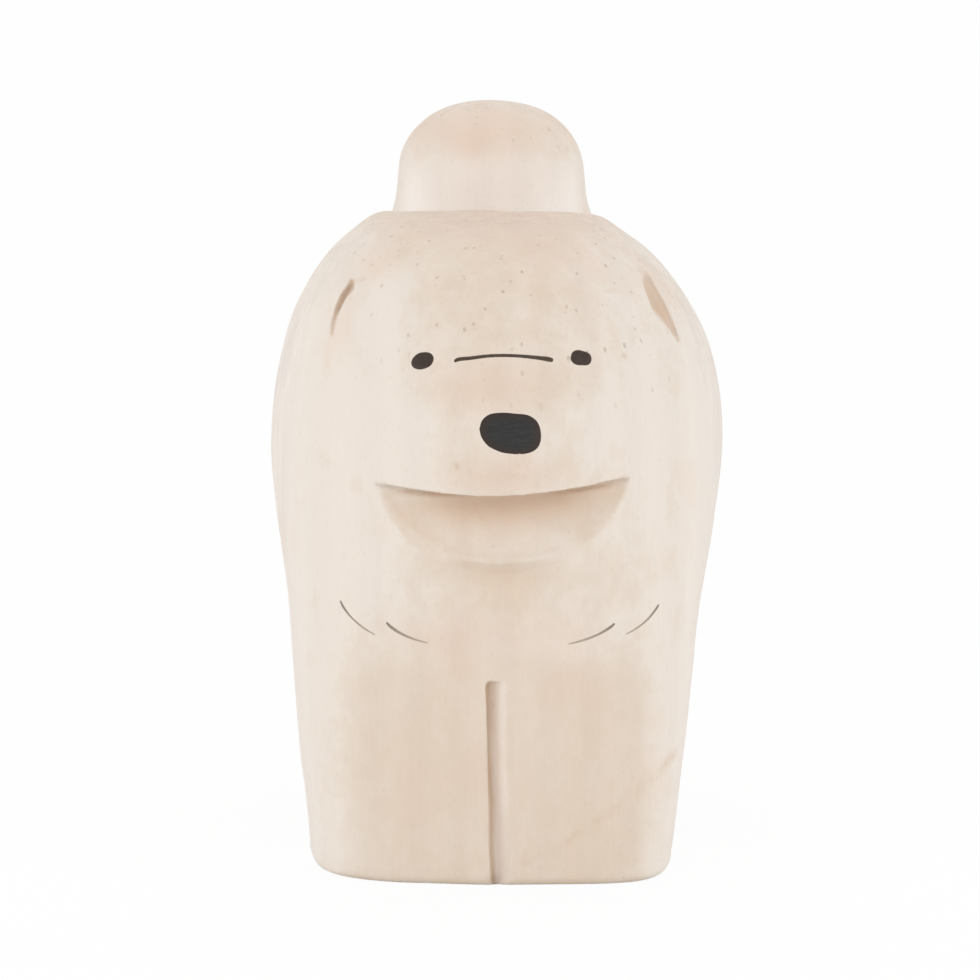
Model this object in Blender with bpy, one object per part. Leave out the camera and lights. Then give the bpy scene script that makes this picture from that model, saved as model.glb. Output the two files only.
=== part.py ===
"""Carved wooden dog figurine: a stout, thick-coated dog standing square on four legs, facing -Y.

Metres, +Z up. The origin is on the ground under the middle of the figure. Left and right are those of a
viewer who looks the dog in the face, along +Y, so right is +X.
"""

import math

import bmesh
import bpy
import numpy as np
from mathutils import Matrix, Vector
from mathutils.bvhtree import BVHTree

# Body sections from the ground up. A rise is measured from the section below, a width is overall,
# and front and back are reaches from the origin.
SOLE_WIDTH = 0.0379
SOLE_FRONT = 0.0265
SOLE_BACK = 0.0293
SOLE_ROUND = 0.0013
LEG_RISE = 0.0190
LEG_WIDTH = 0.0421
LEG_FRONT = 0.0265
LEG_BACK = 0.0313
CHEST_RISE = 0.0080
CHEST_WIDTH = 0.0437
CHEST_FRONT = 0.0271
CHEST_BACK = 0.0319
CHIN_RISE = 0.0075
CHIN_WIDTH = 0.0463
CHIN_FRONT = 0.0287
CHIN_BACK = 0.0322
RUFF_RISE = 0.0080
RUFF_WIDTH = 0.0480
RUFF_FRONT = 0.0297
RUFF_BACK = 0.0322
CROWN_RISE = 0.0261
CROWN_FORWARD = 0.0063

# The top of the head is planed to a nearly level flat: how far down, the radius of its bow, and its edge.
CROWN_PLANED = 0.0018
CROWN_BOW = 0.3000
CROWN_EDGE = 0.00025

# The hand-carved block leans a little to one side and back.
SOLE_LEAN = -0.0006
RUFF_LEAN = 0.0002
CROWN_LEAN = -0.0014

# The front feet bow back towards their outer sides.
LEFT_FOOT_BOW = 0.0035
RIGHT_FOOT_BOW = 0.0010

# Powers of the superellipses: 2 is round, and more is squarer.
LEFT_FOOT_CORNER = 7.5
RIGHT_FOOT_CORNER = 9.0
HIND_FOOT_CORNER = 4.0
FACE_CORNER = 2.1
RUMP_CORNER = 2.7
FOREHEAD_POWER = 2.1
TEMPLE_POWER = 2.27
BACK_POWER = 2.9

# The muzzle swells out of the face, and the trunk steps in behind the ruff.
MUZZLE_OFFSET = 0.0009
MUZZLE_RISE = 0.0040
MUZZLE_SWELL = 0.0024
MUZZLE_HALF_WIDTH = 0.0090
MUZZLE_HALF_HEIGHT = 0.0065
TRUNK_START = -0.0006
TRUNK_RUN = 0.0074
TRUNK_SIDE_STEP = 0.0016
TRUNK_TOP_STEP = 0.0034

# Knife cuts in the block. The ears' places are shares across of half the ruff's width, and up of the
# head's height over the ruff's widest line.
BELLY_START = 0.0070
BELLY_LENGTH = 0.0190
BELLY_CORNER = 0.0060
LEG_LINE_RISE = 0.0028
LEG_LINE_TOP_X = 0.0001
LEG_LINE_TOP_WIDTH = 0.0018
LEG_LINE_TOP_DEPTH = 0.0009
LEG_LINE_TOP_APEX = 0.22
LEG_LINE_SOLE_X = 0.0003
LEG_LINE_SOLE_WIDTH = 0.0018
LEG_LINE_SOLE_DEPTH = 0.0014
LEG_LINE_SOLE_APEX = 0.36
MOUTH_WIDTH = 0.0258
MOUTH_OFFSET = 0.0008
MOUTH_DROP = 0.0001
MOUTH_HEIGHT = 0.0072
MOUTH_TILT = 6.0
MOUTH_ROLL = 0.9
MOUTH_HOLLOW = 1.45
LEFT_EAR_CUT_WIDTH = 0.0010
LEFT_EAR_CUT_HEAD = 0.15
LEFT_EAR_CUT_LEAN = 0.3
LEFT_EAR_CUT_BOW = -0.017
RIGHT_EAR_CUT_WIDTH = 0.0030
RIGHT_EAR_CUT_HEAD = 0.45
RIGHT_EAR_CUT_LEAN = -0.4
RIGHT_EAR_CUT_BOW = 0.0
EAR_CUT_DEPTH = 0.0012
EAR_CUT_START = 0.3
EAR_CUT_END = 0.1
EAR_CUT_REACH = 0.0006
LEFT_EAR_TOP_SHARES = (-0.614, 0.748)
LEFT_EAR_TIP_SHARES = (-0.708, 0.540)
RIGHT_EAR_TOP_SHARES = (0.645, 0.759)
RIGHT_EAR_TIP_SHARES = (0.796, 0.477)

# The tail stands on a sloping flat planed behind the head, and is pegged to it. Its heights are above the
# middle of that flat.
TAIL_X = -0.0004
TAIL_Y = 0.0160
TAIL_WIDTH = 0.0204
TAIL_LENGTH = 0.0190
TAIL_SLOPE = 26.0
TAIL_WALL = 0.0087
TAIL_FOOT = 0.0011
TAIL_DOME = 0.0093
TAIL_LEAN = 0.0020
TAIL_FLARE = 0.0030
TAIL_FLARE_POWER = 1.8
TAIL_FRONT_SHARE = 0.3
TAIL_PLAN_POWER = 2.3
TAIL_CROWN_POWER = 2.35
SEAT_DEPTH = 0.0003
SEAT_CLEARANCE = 0.0001
DOWEL_DIAMETER = 0.0050
DOWEL_LENGTH = 0.0140
DOWEL_CLEARANCE = 0.0003

# Paint and ink, each a film just off the wood. Places are shares, as for the ears, and those under the
# ruff's widest line are shares of the height from there down to the chest.
PAINT_THICKNESS = 0.0002
PAINT_GAP = 0.0001
NOSE_SHARES = (0.0625, 0.257)
NOSE_WIDTH = 0.0062
NOSE_HEIGHT = 0.0043
NOSE_POWER = 2.6
EYE_WIDTH = 0.0022
EYE_HEIGHT = 0.0017
LEFT_EYE_SHARES = (-0.304, 0.498)
LEFT_EYE_TILT = 20.0
RIGHT_EYE_SHARES = (0.3625, 0.510)
RIGHT_EYE_TILT = -15.0
BROW_LEFT_SHARES = (-0.167, 0.513)
BROW_RIGHT_SHARES = (0.246, 0.513)
BROW_ARCH = 0.0005
BROW_WIDTH = 0.00048
FUR_STROKE_WIDTH = 0.00045
FUR_STROKE_TAPER = 0.4
FUR_STROKE_SAG = 0.0006
LEFT_OUTER_STROKE_SHARES = ((-0.667, -0.865), (-0.504, -1.039))
LEFT_INNER_STROKE_SHARES = ((-0.467, -0.948), (-0.275, -1.058))
RIGHT_INNER_STROKE_SHARES = ((0.5125, -0.948), (0.3125, -1.065))
RIGHT_OUTER_STROKE_SHARES = ((0.704, -0.897), (0.5375, -1.045))

# Counts that set how finely the round forms are faceted
AROUND_BODY = 72
LOW_RINGS = 22
SOLE_RINGS = 4
CROWN_RINGS = 18
AROUND_TAIL = 40
TAIL_RINGS = 10
WALL_RINGS = 8
AROUND_DOWEL = 24
STROKE_STEPS = 6
MOUTH_STEPS = 6
EAR_STEPS = 8
OUTLINE_POINTS = 28

# A cutter runs this far past what it cuts.
REACH = 0.010

LEG_HEIGHT = LEG_RISE
CHEST_HEIGHT = LEG_HEIGHT + CHEST_RISE
CHIN_HEIGHT = CHEST_HEIGHT + CHIN_RISE
RUFF_HEIGHT = CHIN_HEIGHT + RUFF_RISE
CROWN_HEIGHT = RUFF_HEIGHT + CROWN_RISE


# Collections, materials and meshes
def clear_scene():
    for item in list(bpy.data.objects):
        bpy.data.objects.remove(item, do_unlink=True)


def collection(name):
    made = bpy.data.collections.new(name)
    bpy.context.scene.collection.children.link(made)
    return made


def material(name, colour, roughness):
    made = bpy.data.materials.new(name)
    made.use_nodes = True
    shader = made.node_tree.nodes["Principled BSDF"]
    shader.inputs["Base Color"].default_value = (*colour, 1.0)
    shader.inputs["Roughness"].default_value = roughness
    shader.inputs["Metallic"].default_value = 0.0
    return made


def add_part(name, mesh, finish):
    made = bpy.data.objects.new(name, mesh)
    parts.objects.link(made)
    mesh.materials.append(finish)
    mesh.shade_smooth()
    mesh.set_sharp_from_angle(angle=math.radians(40))
    return made


def add_cutter(name, mesh):
    made = bpy.data.objects.new(name, mesh)
    cutters.objects.link(made)
    made.hide_render = True
    made.display_type = "WIRE"
    return made


def boolean(target, operation, other):
    step = target.modifiers.new(f"{operation.lower()}_{other.name}", "BOOLEAN")
    step.operation = operation
    step.solver = "EXACT"
    step.object = other


def mesh_from(shape, name):
    bmesh.ops.recalc_face_normals(shape, faces=shape.faces)
    mesh = bpy.data.meshes.new(name)
    shape.to_mesh(mesh)
    shape.free()
    return mesh


def loft(name, rings, crown=None):
    """A closed mesh through rings of points, with a flat foot, and a crown point or a flat top."""
    shape = bmesh.new()
    rows = [[shape.verts.new(point) for point in ring] for ring in rings]
    for low, high in zip(rows, rows[1:]):
        for i in range(len(low)):
            j = (i + 1) % len(low)
            shape.faces.new((low[i], low[j], high[j], high[i]))
    shape.faces.new(rows[0])
    if crown is None:
        shape.faces.new(rows[-1])
    else:
        tip = shape.verts.new(crown)
        for a, b in zip(rows[-1], rows[-1][1:] + rows[-1][:1]):
            shape.faces.new((a, b, tip))
    return mesh_from(shape, name)


def prism(name, outline, start, end):
    """A flat outline of (x, z) points, carried along Y from start to end."""
    curve = bpy.data.curves.new(name, "CURVE")
    curve.dimensions = "2D"
    curve.fill_mode = "BOTH"
    curve.extrude = (end - start) / 2
    spline = curve.splines.new("POLY")
    spline.points.add(len(outline) - 1)
    for point, (x, z) in zip(spline.points, outline):
        point.co = (x, z, 0.0, 1.0)
    spline.use_cyclic_u = True
    guide = bpy.data.objects.new(name, curve)
    cutters.objects.link(guide)
    bpy.context.view_layer.update()
    mesh = bpy.data.meshes.new_from_object(guide.evaluated_get(bpy.context.evaluated_depsgraph_get()))
    bpy.data.objects.remove(guide, do_unlink=True)
    shape = bmesh.new()
    shape.from_mesh(mesh)
    bmesh.ops.remove_doubles(shape, verts=shape.verts, dist=1e-6)
    upright = Matrix.Translation((0, (start + end) / 2, 0)) @ Matrix.Rotation(math.radians(90), 4, "X")
    bmesh.ops.transform(shape, matrix=upright, verts=shape.verts)
    bpy.data.meshes.remove(mesh)
    return mesh_from(shape, name)


def cylinder(name, diameter, foot, head):
    shape = bmesh.new()
    turn = (head - foot).to_track_quat("Z", "Y").to_matrix().to_4x4()
    bmesh.ops.create_cone(
        shape,
        cap_ends=True,
        segments=AROUND_DOWEL,
        radius1=diameter / 2,
        radius2=diameter / 2,
        depth=(head - foot).length,
        matrix=Matrix.Translation((foot + head) / 2) @ turn,
    )
    return mesh_from(shape, name)


# The body's skin
def smoothstep(t):
    t = np.clip(t, 0.0, 1.0)
    return t * t * (3 - 2 * t)


def signed_power(value, power):
    return np.sign(value) * np.abs(value) ** power


def through_sections(rows, height):
    """A smooth curve through rows of (height, values...), level at the last row, read at one height."""
    rows = np.array(rows)
    heights, values = rows[:, 0], rows[:, 1:]
    step = np.diff(heights)[:, None]
    rise = np.diff(values, axis=0) / step
    slope = np.zeros_like(values)
    slope[0] = rise[0]
    slope[1:-1] = (rise[:-1] * step[1:] + rise[1:] * step[:-1]) / (step[1:] + step[:-1])
    i = int(np.clip(np.searchsorted(heights, height, side="right") - 1, 0, len(step) - 1))
    t = (height - heights[i]) / step[i]
    ease = t * t * (3 - 2 * t)
    return (
        values[i] * (1 - ease)
        + values[i + 1] * ease
        + step[i] * t * (1 - t) * (slope[i] * (1 - t) - slope[i + 1] * t)
    )


def body_sections():
    return [
        (0.0, SOLE_WIDTH / 2, SOLE_FRONT, SOLE_BACK),
        (LEG_HEIGHT, LEG_WIDTH / 2, LEG_FRONT, LEG_BACK),
        (CHEST_HEIGHT, CHEST_WIDTH / 2, CHEST_FRONT, CHEST_BACK),
        (CHIN_HEIGHT, CHIN_WIDTH / 2, CHIN_FRONT, CHIN_BACK),
        (RUFF_HEIGHT, RUFF_WIDTH / 2, RUFF_FRONT, RUFF_BACK),
    ]


def lower_ring(height, turn):
    """One level ring of the legs, chest and ruff. The sole's edge is rounded."""
    half_width, front, back = through_sections(body_sections(), height)
    over = max(SOLE_ROUND - height, 0.0)
    inset = SOLE_ROUND - math.sqrt(SOLE_ROUND**2 - over**2)
    up = smoothstep(height / RUFF_HEIGHT)
    lean = SOLE_LEAN + (RUFF_LEAN - SOLE_LEAN) * height / RUFF_HEIGHT
    across, along = np.cos(turn), np.sin(turn)
    foot = np.where(across < 0, LEFT_FOOT_CORNER, RIGHT_FOOT_CORNER)
    corner = np.where(
        along < 0,
        foot + (FACE_CORNER - foot) * up,
        HIND_FOOT_CORNER + (RUMP_CORNER - HIND_FOOT_CORNER) * up,
    )
    side = signed_power(across, 2 / corner)
    bow = np.where(side < 0, LEFT_FOOT_BOW, RIGHT_FOOT_BOW) * side**2 * (1 - up)
    reach = np.where(along < 0, front - bow, back) - inset
    x = lean + (half_width - inset) * side
    y = reach * signed_power(along, 2 / corner)
    return np.stack([x, y, np.full_like(x, height)], axis=1)


def crown_ring(climb, turn):
    """One ring of the dome over the ruff, at an angle of climb from level to straight up."""
    across, along = np.cos(turn), np.sin(turn)
    ends = np.where(along < 0, FOREHEAD_POWER, BACK_POWER)
    power = TEMPLE_POWER * across**2 + ends * along**2
    spread = math.cos(climb) ** (2 / power)
    lift = math.sin(climb) ** (2 / power)
    corner = np.where(along < 0, FACE_CORNER, RUMP_CORNER)
    reach = np.where(along < 0, RUFF_FRONT, RUFF_BACK)
    x = RUFF_LEAN + (CROWN_LEAN - RUFF_LEAN) * lift**2
    x = x + RUFF_WIDTH / 2 * spread * signed_power(across, 2 / corner)
    y = reach * spread * signed_power(along, 2 / corner) - CROWN_FORWARD * lift**2
    return np.stack([x, y, RUFF_HEIGHT + CROWN_RISE * lift], axis=1)


def swell_muzzle(points):
    """Pushes the face out round the muzzle."""
    x, y, z = points.T
    wide = (x - MUZZLE_OFFSET) / MUZZLE_HALF_WIDTH
    high = (z - RUFF_HEIGHT - MUZZLE_RISE) / MUZZLE_HALF_HEIGHT
    facing = smoothstep(-y / (RUFF_FRONT / 2))
    return points - np.outer(MUZZLE_SWELL * np.exp(-(wide**2) - high**2) * facing, (0, 1, 0))


def plane_crown(points):
    """Takes the top of the head down to the planed flat."""
    x, y, z = points.T
    bow = ((x - CROWN_LEAN) ** 2 + (y + CROWN_FORWARD) ** 2) / (2 * CROWN_BOW)
    level = CROWN_HEIGHT - CROWN_PLANED - bow
    lowered = level - CROWN_EDGE * np.logaddexp(0.0, (level - z) / CROWN_EDGE)
    return np.stack([x, y, lowered], axis=1)


def step_trunk(points):
    """Draws the trunk in behind the ruff, on its top and sides, fading out down the legs."""
    x, y, z = points.T
    above = np.maximum(z - RUFF_HEIGHT, 0.0)
    out = np.stack([x, np.zeros_like(x), above], axis=1)
    out = out / np.maximum(np.linalg.norm(out, axis=1), 1e-6)[:, None]
    fade = smoothstep((z - LEG_HEIGHT / 2) / (RUFF_HEIGHT - LEG_HEIGHT / 2))
    behind = smoothstep((y - TRUNK_START) / TRUNK_RUN)
    return points - out * np.outer(behind * fade, (TRUNK_SIDE_STEP, 0, TRUNK_TOP_STEP))


def body_skin():
    """Rings of the whole uncut block, and the crown point that closes it."""
    turn = np.arange(AROUND_BODY) * 2 * math.pi / AROUND_BODY
    sole = [SOLE_ROUND * (1 - math.cos(math.pi / 2 * i / SOLE_RINGS)) for i in range(SOLE_RINGS)]
    heights = sole + list(np.linspace(SOLE_ROUND, RUFF_HEIGHT, LOW_RINGS))
    rings = [lower_ring(height, turn) for height in heights]
    climbs = [math.pi / 2 * i / CROWN_RINGS for i in range(1, CROWN_RINGS)]
    rings += [crown_ring(climb, turn) for climb in climbs]
    crown = np.array([[CROWN_LEAN, -CROWN_FORWARD, CROWN_HEIGHT]])
    rings = [step_trunk(plane_crown(swell_muzzle(ring))) for ring in rings]
    return rings, step_trunk(plane_crown(crown))[0]


def grown(mesh, distance, name):
    """A copy of the skin with every point moved out along its normal."""
    shape = bmesh.new()
    shape.from_mesh(mesh)
    shape.normal_update()
    for vert, normal in [(vert, vert.normal.copy()) for vert in shape.verts]:
        vert.co += normal * distance
    return mesh_from(shape, name)


def on_face(place):
    """A place given in shares, as a distance across and a rise over the ruff's widest line."""
    across, up = place
    return across * RUFF_WIDTH / 2, up * (CROWN_RISE if up > 0 else RUFF_RISE + CHIN_RISE)


def face_point(x, rise):
    """The skin's point and normal straight behind a distance across and a rise on the face."""
    start = Vector((x, -RUFF_FRONT - MUZZLE_SWELL - REACH, RUFF_HEIGHT + rise))
    point, normal, _, _ = skin_tree.ray_cast(start, Vector((0, 1, 0)))
    return point, normal


def back_height(x, y):
    point, _, _, _ = skin_tree.ray_cast(Vector((x, y, CROWN_HEIGHT + REACH)), Vector((0, 0, -1)))
    return point.z if point else RUFF_HEIGHT


# Cuts in the body
def cut_belly(body):
    """The arch between the front and hind legs, through from side to side."""
    start = -BELLY_START
    end = start + BELLY_LENGTH
    round_top = min(BELLY_CORNER, BELLY_LENGTH / 2, LEG_HEIGHT)
    outline = [(start, -REACH), (end, -REACH)]
    for middle, first in ((end - round_top, 0), (start + round_top, 90)):
        for i in range(OUTLINE_POINTS // 4 + 1):
            angle = math.radians(first + 90 * i / (OUTLINE_POINTS // 4))
            level = LEG_HEIGHT - round_top + round_top * math.sin(angle)
            outline.append((middle + round_top * math.cos(angle), level))
    half = max(LEG_WIDTH, RUFF_WIDTH) / 2 + REACH
    arch = add_cutter("belly_arch", prism("belly_arch", outline, -half, half))
    arch.data.transform(Matrix.Rotation(math.radians(90), 4, "Z"))
    boolean(body, "DIFFERENCE", arch)


def leg_line_ring(side, t):
    """The V's three points, from its top at 0 to the sole at 1: its deepest line lies to the left."""
    x = LEG_LINE_TOP_X + (LEG_LINE_SOLE_X - LEG_LINE_TOP_X) * t
    width = LEG_LINE_TOP_WIDTH + (LEG_LINE_SOLE_WIDTH - LEG_LINE_TOP_WIDTH) * t
    depth = LEG_LINE_TOP_DEPTH + (LEG_LINE_SOLE_DEPTH - LEG_LINE_TOP_DEPTH) * t
    top = LEG_HEIGHT + LEG_LINE_RISE
    surface = min(SOLE_FRONT, LEG_FRONT) if side < 0 else LEG_BACK + (SOLE_BACK - LEG_BACK) * t
    apex_share = LEG_LINE_TOP_APEX + (LEG_LINE_SOLE_APEX - LEG_LINE_TOP_APEX) * t
    apex = x + (apex_share - 0.5) * width
    spread = width * (1 + REACH / depth)
    left = apex - apex_share * spread
    ends = ((apex, surface - depth), (left, surface + REACH), (left + spread, surface + REACH))
    return [(across, side * out, top * (1 - t)) for across, out in ends]


def cut_leg_line(body, name, side):
    """A knife-cut V between two legs, on the front (side -1) or the back (side 1) of the block."""
    past_sole = 1 + SOLE_ROUND / LEG_HEIGHT
    rings = [leg_line_ring(side, t) for t in (0.0, past_sole)]
    boolean(body, "DIFFERENCE", add_cutter(name, loft(name, rings)))


def mouth_profile(front, chin, deep):
    """The mouth's section in y and z: the lip, the depth of the cut, its hollow and the chin's edge."""
    climb = math.tan(math.radians(MOUTH_TILT))
    inner = front.z + climb * (deep - front.y)
    profile = [Vector((front.y - REACH, front.z - climb * REACH))]
    for i in range(MOUTH_STEPS + 1):
        t = i / MOUTH_STEPS
        profile.append(Vector((deep + (chin.y - deep) * t**MOUTH_HOLLOW, inner + (chin.z - inner) * t)))
    run = profile[-1] - profile[-2]
    return profile + [chin.yz + run * (REACH / abs(run.x))]


def cut_mouth(body):
    """A cut into the muzzle that rises a little inwards, then a hollow slice out to the chin's edge."""
    front = face_point(MOUTH_OFFSET, -MOUTH_DROP)[0]
    chin = face_point(MOUTH_OFFSET, -MOUTH_DROP - MOUTH_HEIGHT)[0]
    left, right = (face_point(MOUTH_OFFSET + side * MOUTH_WIDTH / 2, -MOUTH_DROP)[0].y for side in (-1, 1))
    rings = []
    for x in (-MOUTH_WIDTH / 2 - REACH, MOUTH_WIDTH / 2 + REACH):
        deep = (left + right) / 2 + (right - left) * x / MOUTH_WIDTH
        rings.append([(x, p.x, p.y) for p in mouth_profile(front, chin, deep)])
    wedge = add_cutter("mouth_wedge", loft("mouth_wedge", rings))
    roll = Matrix.Rotation(math.radians(-MOUTH_ROLL), 4, "Y")
    middle = Matrix.Translation((MOUTH_OFFSET, 0.0, front.z))
    level = Matrix.Translation((0.0, 0.0, -front.z))
    wedge.data.transform(middle @ roll @ level)
    boolean(body, "DIFFERENCE", wedge)


def cut_ear(body, name, top, tip, width, head, lean, bow):
    """A knife cut that marks one small folded ear: it is fullest near its top and runs out at its tip."""
    top, tip = on_face(top), on_face(tip)
    high, high_normal = face_point(*top)
    low, low_normal = face_point(*tip)
    out = (high_normal + low_normal).normalized()
    across = out.cross(low - high).normalized()
    rings = []
    for i in range(EAR_STEPS + 1):
        t = i / EAR_STEPS
        full = np.interp(t, (0.0, head, 1.0), (EAR_CUT_START, 1.0, EAR_CUT_END))
        depth = EAR_CUT_DEPTH * full
        side = across * (width / 2 * full)
        aside = bow * RUFF_WIDTH / 2 * math.sin(math.pi * t)
        point = face_point(top[0] + (tip[0] - top[0]) * t + aside, top[1] + (tip[1] - top[1]) * t)[0]
        deepest = point + side * lean - out * depth
        past = 1 + EAR_CUT_REACH / depth
        rings.append([deepest] + [deepest + (rim - deepest) * past for rim in (point + side, point - side)])
    boolean(body, "DIFFERENCE", add_cutter(name, loft(name, rings)))


# The tail, its seat and its peg
def tail_plan(spread, grow, shift):
    """The tail's outline from above, which grows less at the front than elsewhere."""
    turn = np.arange(AROUND_TAIL) * 2 * math.pi / AROUND_TAIL
    across = signed_power(np.cos(turn), 2 / TAIL_PLAN_POWER)
    along = signed_power(np.sin(turn), 2 / TAIL_PLAN_POWER)
    grow_along = np.where(along < 0, grow * TAIL_FRONT_SHARE, grow)
    x = TAIL_X + (TAIL_WIDTH / 2 + grow) * spread * across
    y = TAIL_Y - shift + (TAIL_LENGTH / 2 + grow_along) * spread * along
    return x, y


def slope_fall(y):
    """How far the sloping flat has fallen at y, from its middle."""
    return math.tan(math.radians(TAIL_SLOPE)) * (y - TAIL_Y)


def tail_ring(seat, t):
    """A ring of the tail's wall, from the sloping flat at 0 to the level shoulder at 1."""
    above_foot = min((1 - t) / (1 - TAIL_FOOT / TAIL_WALL), 1.0)
    x, y = tail_plan(1.0, TAIL_FLARE * above_foot**TAIL_FLARE_POWER, 0.0)
    return np.stack([x, y, seat + TAIL_WALL * t - slope_fall(y) * (1 - t)], axis=1)


def tail_mesh(seat):
    """A plump rounded tail that spreads at its foot and leans a little over the back."""
    rings = [tail_ring(seat, i / WALL_RINGS) for i in range(WALL_RINGS + 1)]
    for i in range(1, TAIL_RINGS):
        climb = math.pi / 2 * i / TAIL_RINGS
        lift = math.sin(climb) ** (2 / TAIL_CROWN_POWER)
        x, y = tail_plan(math.cos(climb) ** (2 / TAIL_CROWN_POWER), 0.0, TAIL_LEAN * lift)
        rings.append(np.stack([x, y, np.full_like(x, seat + TAIL_WALL + TAIL_DOME * lift)], axis=1))
    return loft("tail", rings, (TAIL_X, TAIL_Y - TAIL_LEAN, seat + TAIL_WALL + TAIL_DOME))


def seat_mesh(seat):
    """What is planed away for the tail, open to the sky above its foot."""
    x, y = tail_plan(1.0, TAIL_FLARE + SEAT_CLEARANCE, 0.0)
    foot = np.stack([x, y, seat - slope_fall(y)], axis=1)
    head = np.stack([x, y, np.full_like(x, CROWN_HEIGHT + REACH)], axis=1)
    return loft("tail_seat", [foot, head])


def build_tail(body, finish):
    x, y = tail_plan(1.0, TAIL_FLARE + SEAT_CLEARANCE, 0.0)
    seat = min(back_height(*place) + slope_fall(place[1]) for place in zip(x, y)) - SEAT_DEPTH
    boolean(body, "DIFFERENCE", add_cutter("tail_seat", seat_mesh(seat)))
    tail = add_part("tail", tail_mesh(seat), finish)
    middle = Vector((TAIL_X, TAIL_Y, seat))
    axis = Matrix.Rotation(math.radians(-TAIL_SLOPE), 3, "X") @ Vector((0, 0, 1))
    half = DOWEL_LENGTH / 2
    peg = cylinder("tail_dowel", DOWEL_DIAMETER, middle - axis * half, middle + axis * half)
    add_part("tail_dowel", peg, materials["peg"])
    half += DOWEL_CLEARANCE
    bore = DOWEL_DIAMETER + 2 * DOWEL_CLEARANCE
    hole = cylinder("dowel_hole", bore, middle - axis * half, middle + axis * half)
    hole = add_cutter("dowel_hole", hole)
    boolean(body, "DIFFERENCE", hole)
    boolean(tail, "DIFFERENCE", hole)


# Paint and ink
def superellipse(place, width, height, power, tilt):
    middle, rise = on_face(place)
    tilt = math.radians(tilt)
    outline = []
    for i in range(OUTLINE_POINTS):
        turn = 2 * math.pi * i / OUTLINE_POINTS
        across = width / 2 * float(signed_power(math.cos(turn), 2 / power))
        up = height / 2 * float(signed_power(math.sin(turn), 2 / power))
        x = middle + across * math.cos(tilt) - up * math.sin(tilt)
        z = RUFF_HEIGHT + rise + across * math.sin(tilt) + up * math.cos(tilt)
        outline.append((x, z))
    return outline


def stroke(start, end, bow, width, taper):
    """A brush stroke from start to end that bows upwards, and narrows to taper of its width."""
    start, end = Vector(on_face(start)), Vector(on_face(end))
    side = (end - start).orthogonal().normalized()
    side *= 1 if side.y > 0 else -1
    edges = ([], [])
    for i in range(STROKE_STEPS + 1):
        t = i / STROKE_STEPS
        middle = start.lerp(end, t) + side * bow * 4 * t * (1 - t)
        half = width / 2 * (1 - (1 - taper) * t)
        edges[0].append(middle + side * half)
        edges[1].append(middle - side * half)
    return [(p.x, RUFF_HEIGHT + p.y) for p in edges[0] + edges[1][::-1]]


def paint(name, outline, finish):
    """A film of the outline's shape that follows the skin."""
    front = -RUFF_FRONT - MUZZLE_SWELL - REACH
    film = add_part(name, prism(name, outline, front, 0.0), finish)
    boolean(film, "INTERSECT", paint_outside)
    boolean(film, "DIFFERENCE", paint_inside)


clear_scene()
parts = collection("dog_figurine")
cutters = collection("cutters")
materials = {
    "wood": material("pale_wood", (0.77, 0.66, 0.53), 0.62),
    "tail_wood": material("pale_wood_tail", (0.77, 0.66, 0.53), 0.62),
    "peg": material("peg_wood", (0.62, 0.47, 0.31), 0.6),
    "black": material("black_paint", (0.035, 0.030, 0.028), 0.45),
    "ink": material("brown_ink", (0.075, 0.052, 0.042), 0.55),
    "grey": material("grey_ink", (0.30, 0.26, 0.22), 0.6),
}

skin_rings, skin_crown = body_skin()
skin = loft("body", skin_rings, skin_crown)
skin_shape = bmesh.new()
skin_shape.from_mesh(skin)
skin_tree = BVHTree.FromBMesh(skin_shape)
skin_shape.free()
paint_inside = add_cutter("paint_inside", grown(skin, PAINT_GAP, "paint_inside"))
paint_outside = add_cutter("paint_outside", grown(skin, PAINT_GAP + PAINT_THICKNESS, "paint_outside"))

body = add_part("body", skin, materials["wood"])
build_tail(body, materials["tail_wood"])
cut_belly(body)
cut_leg_line(body, "front_leg_line", -1)
cut_leg_line(body, "hind_leg_line", 1)
cut_mouth(body)
cut_ear(
    body,
    "left_ear_cut",
    LEFT_EAR_TOP_SHARES,
    LEFT_EAR_TIP_SHARES,
    LEFT_EAR_CUT_WIDTH,
    LEFT_EAR_CUT_HEAD,
    LEFT_EAR_CUT_LEAN,
    LEFT_EAR_CUT_BOW,
)
cut_ear(
    body,
    "right_ear_cut",
    RIGHT_EAR_TOP_SHARES,
    RIGHT_EAR_TIP_SHARES,
    RIGHT_EAR_CUT_WIDTH,
    RIGHT_EAR_CUT_HEAD,
    RIGHT_EAR_CUT_LEAN,
    RIGHT_EAR_CUT_BOW,
)

paint("nose", superellipse(NOSE_SHARES, NOSE_WIDTH, NOSE_HEIGHT, NOSE_POWER, 0.0), materials["black"])
eyes = {"left_eye": (LEFT_EYE_SHARES, LEFT_EYE_TILT), "right_eye": (RIGHT_EYE_SHARES, RIGHT_EYE_TILT)}
for eye, (place, tilt) in eyes.items():
    paint(eye, superellipse(place, EYE_WIDTH, EYE_HEIGHT, 2.0, tilt), materials["ink"])
brow = stroke(BROW_LEFT_SHARES, BROW_RIGHT_SHARES, BROW_ARCH, BROW_WIDTH, 1.0)
paint("brow_line", brow, materials["ink"])
strokes = {
    "fur_stroke_left_outer": LEFT_OUTER_STROKE_SHARES,
    "fur_stroke_left_inner": LEFT_INNER_STROKE_SHARES,
    "fur_stroke_right_inner": RIGHT_INNER_STROKE_SHARES,
    "fur_stroke_right_outer": RIGHT_OUTER_STROKE_SHARES,
}
for name, (start, end) in strokes.items():
    fur = stroke(start, end, -FUR_STROKE_SAG, FUR_STROKE_WIDTH, FUR_STROKE_TAPER)
    paint(name, fur, materials["grey"])
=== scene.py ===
"""Looks of a carved wooden dog figurine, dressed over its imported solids. Metres, +Z up; the dog faces -Y."""

import math

import bmesh
import bpy
import numpy as np
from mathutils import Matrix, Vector
from mathutils.bvhtree import BVHTree


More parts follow.
